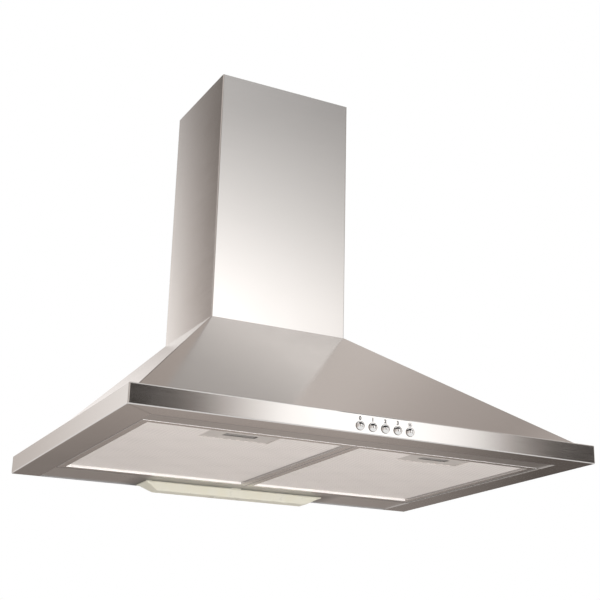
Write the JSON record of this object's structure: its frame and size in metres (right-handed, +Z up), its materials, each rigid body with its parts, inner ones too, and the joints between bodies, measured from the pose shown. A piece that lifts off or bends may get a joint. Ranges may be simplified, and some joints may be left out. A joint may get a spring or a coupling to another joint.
{
  "type": "chimney range hood",
  "caption": "Wall-hung chimney range hood: sheet canopy, telescoping cover, two hinged grease filters, push buttons, lamp and a working fan.",
  "frame": {"origin": "on the wall's face, in the middle of the hood's width, at the level of the rim's lower face", "axes": "+X to the right seen from the front, +Y into the wall, +Z up"},
  "size_m": [0.6, 0.454, 0.573],
  "materials": {
    "satin_steel": "satin brushed stainless sheet",
    "zinc_steel": "zinc-coated steel",
    "filter_aluminium": "satin anodised aluminium",
    "grey_plastic": "fine matt grey",
    "button_chrome": "polished",
    "lens_plastic": "translucent cream, slightly frosted",
    "white_enamel": "white enamel",
    "ceramic": "glazed ceramic",
    "lamp_glass": "opal glass",
    "cap_brass": "nickel-plated brass",
    "fan_plastic": "black moulded plastic",
    "cast_aluminium": "die-cast",
    "motor_iron": "laminated iron, varnished",
    "soft_rubber": "matt",
    "capacitor_case": "white moulded case",
    "lead_sheath": "pale grey sheath"
  },
  "bodies": {
    "hood": {"back_panel": "zinc_steel", "cable_gland": "grey_plastic", "canopy_shell": "satin_steel", "capacitor_clip": "zinc_steel", "case_screws": "zinc_steel", "chimney_lower": "satin_steel", "fan_scroll_left": "fan_plastic", "fan_scroll_right": "fan_plastic", "filter_rail": "zinc_steel", "flap_pin": "zinc_steel", "floor_frame": "satin_steel", "inner_leads": "lead_sheath", "lamp_box": "white_enamel", "lamp_bulbs": "lamp_glass", "lamp_caps": "cap_brass", "lamp_sockets": "ceramic", "lens_hinges": "zinc_steel", "motor_bearings": "zinc_steel", "motor_bushes": "soft_rubber", "motor_front_cap": "cast_aluminium", "motor_mount": "zinc_steel", "motor_rear_cap": "cast_aluminium", "motor_screws": "zinc_steel", "motor_stator": "motor_iron", "outlet_collar": "grey_plastic", "rim_band": "satin_steel", "run_capacitor": "capacitor_case", "scroll_screws": "zinc_steel", "switch_block": "fan_plastic", "switch_bracket": "zinc_steel", "terminal_box": "fan_plastic", "terminal_lid": "fan_plastic", "top_plate": "zinc_steel"},
    "fan_wheel": {"impeller_hub": "fan_plastic", "impeller_blades": "fan_plastic", "impeller_rings": "fan_plastic", "motor_shaft": "zinc_steel", "motor_rotor": "motor_iron"},
    "upper_cover": {"chimney_upper": "satin_steel", "chimney_bracket": "zinc_steel"},
    "lens": {"lamp_lens": "lens_plastic"},
    "flap_front": {"flap_front": "grey_plastic"},
    "flap_rear": {"flap_rear": "grey_plastic"},
    "button_off": {"button_off": "button_chrome"},
    "button_speed_1": {"button_speed_1": "button_chrome"},
    "button_speed_2": {"button_speed_2": "button_chrome"},
    "button_speed_3": {"button_speed_3": "button_chrome"},
    "button_lamp": {"button_lamp": "button_chrome"},
    "filter_left": {"filter_left_border": "filter_aluminium", "filter_left_mesh": "filter_aluminium", "filter_left_handle_plate": "grey_plastic", "filter_left_handle_cup": "grey_plastic", "filter_left_latch_spring": "zinc_steel"},
    "latch_left": {"filter_left_latch": "grey_plastic"},
    "filter_right": {"filter_right_border": "filter_aluminium", "filter_right_mesh": "filter_aluminium", "filter_right_handle_plate": "grey_plastic", "filter_right_handle_cup": "grey_plastic", "filter_right_latch_spring": "zinc_steel"},
    "latch_right": {"filter_right_latch": "grey_plastic"}
  },
  "joints": [
    {"name": "fan_spin", "type": "hinge", "parent": "hood", "child": "fan_wheel", "pos_m": [0, -0.1355, 0.115], "axis": [1, 0, 0], "continuous": true},
    {"name": "chimney_slide", "type": "slide", "parent": "hood", "child": "upper_cover", "axis": [0, 0, 1], "range_m": [0, 0.28]},
    {"name": "lens_hinge", "type": "hinge", "parent": "hood", "child": "lens", "pos_m": [0, -0.0035, -0.002], "axis": [1, 0, 0], "range_deg": [0, 60]},
    {"name": "flap_front_hinge", "type": "hinge", "parent": "hood", "child": "flap_front", "pos_m": [0, -0.0835, 0.213], "axis": [-1, 0, 0], "range_deg": [0, 75]},
    {"name": "flap_rear_hinge", "type": "hinge", "parent": "hood", "child": "flap_rear", "pos_m": [0, -0.0835, 0.213], "axis": [1, 0, 0], "range_deg": [0, 75]},
    {"name": "button_off_press", "type": "slide", "parent": "hood", "child": "button_off", "axis": [0, 1, 0], "range_m": [0, 0.003], "stiffness_N_per_m": 400},
    {"name": "button_speed_1_press", "type": "slide", "parent": "hood", "child": "button_speed_1", "axis": [0, 1, 0], "range_m": [0, 0.003], "stiffness_N_per_m": 400},
    {"name": "button_speed_2_press", "type": "slide", "parent": "hood", "child": "button_speed_2", "axis": [0, 1, 0], "range_m": [0, 0.003], "stiffness_N_per_m": 400},
    {"name": "button_speed_3_press", "type": "slide", "parent": "hood", "child": "button_speed_3", "axis": [0, 1, 0], "range_m": [0, 0.003], "stiffness_N_per_m": 400},
    {"name": "button_lamp_press", "type": "slide", "parent": "hood", "child": "button_lamp", "axis": [0, 1, 0], "range_m": [0, 0.003], "stiffness_N_per_m": 400},
    {"name": "filter_left_hinge", "type": "hinge", "parent": "hood", "child": "filter_left", "pos_m": [0, -0.0715, 0.002], "axis": [1, 0, 0], "range_deg": [0, 75]},
    {"name": "latch_left_slide", "type": "slide", "parent": "filter_left", "child": "latch_left", "axis": [0, 1, 0], "range_m": [0, 0.006], "stiffness_N_per_m": 300, "deforming": ["filter_left_latch_spring"]},
    {"name": "filter_right_hinge", "type": "hinge", "parent": "hood", "child": "filter_right", "pos_m": [0, -0.0715, 0.002], "axis": [1, 0, 0], "range_deg": [0, 75]},
    {"name": "latch_right_slide", "type": "slide", "parent": "filter_right", "child": "latch_right", "axis": [0, 1, 0], "range_m": [0, 0.006], "stiffness_N_per_m": 300, "deforming": ["filter_right_latch_spring"]}
  ]
}
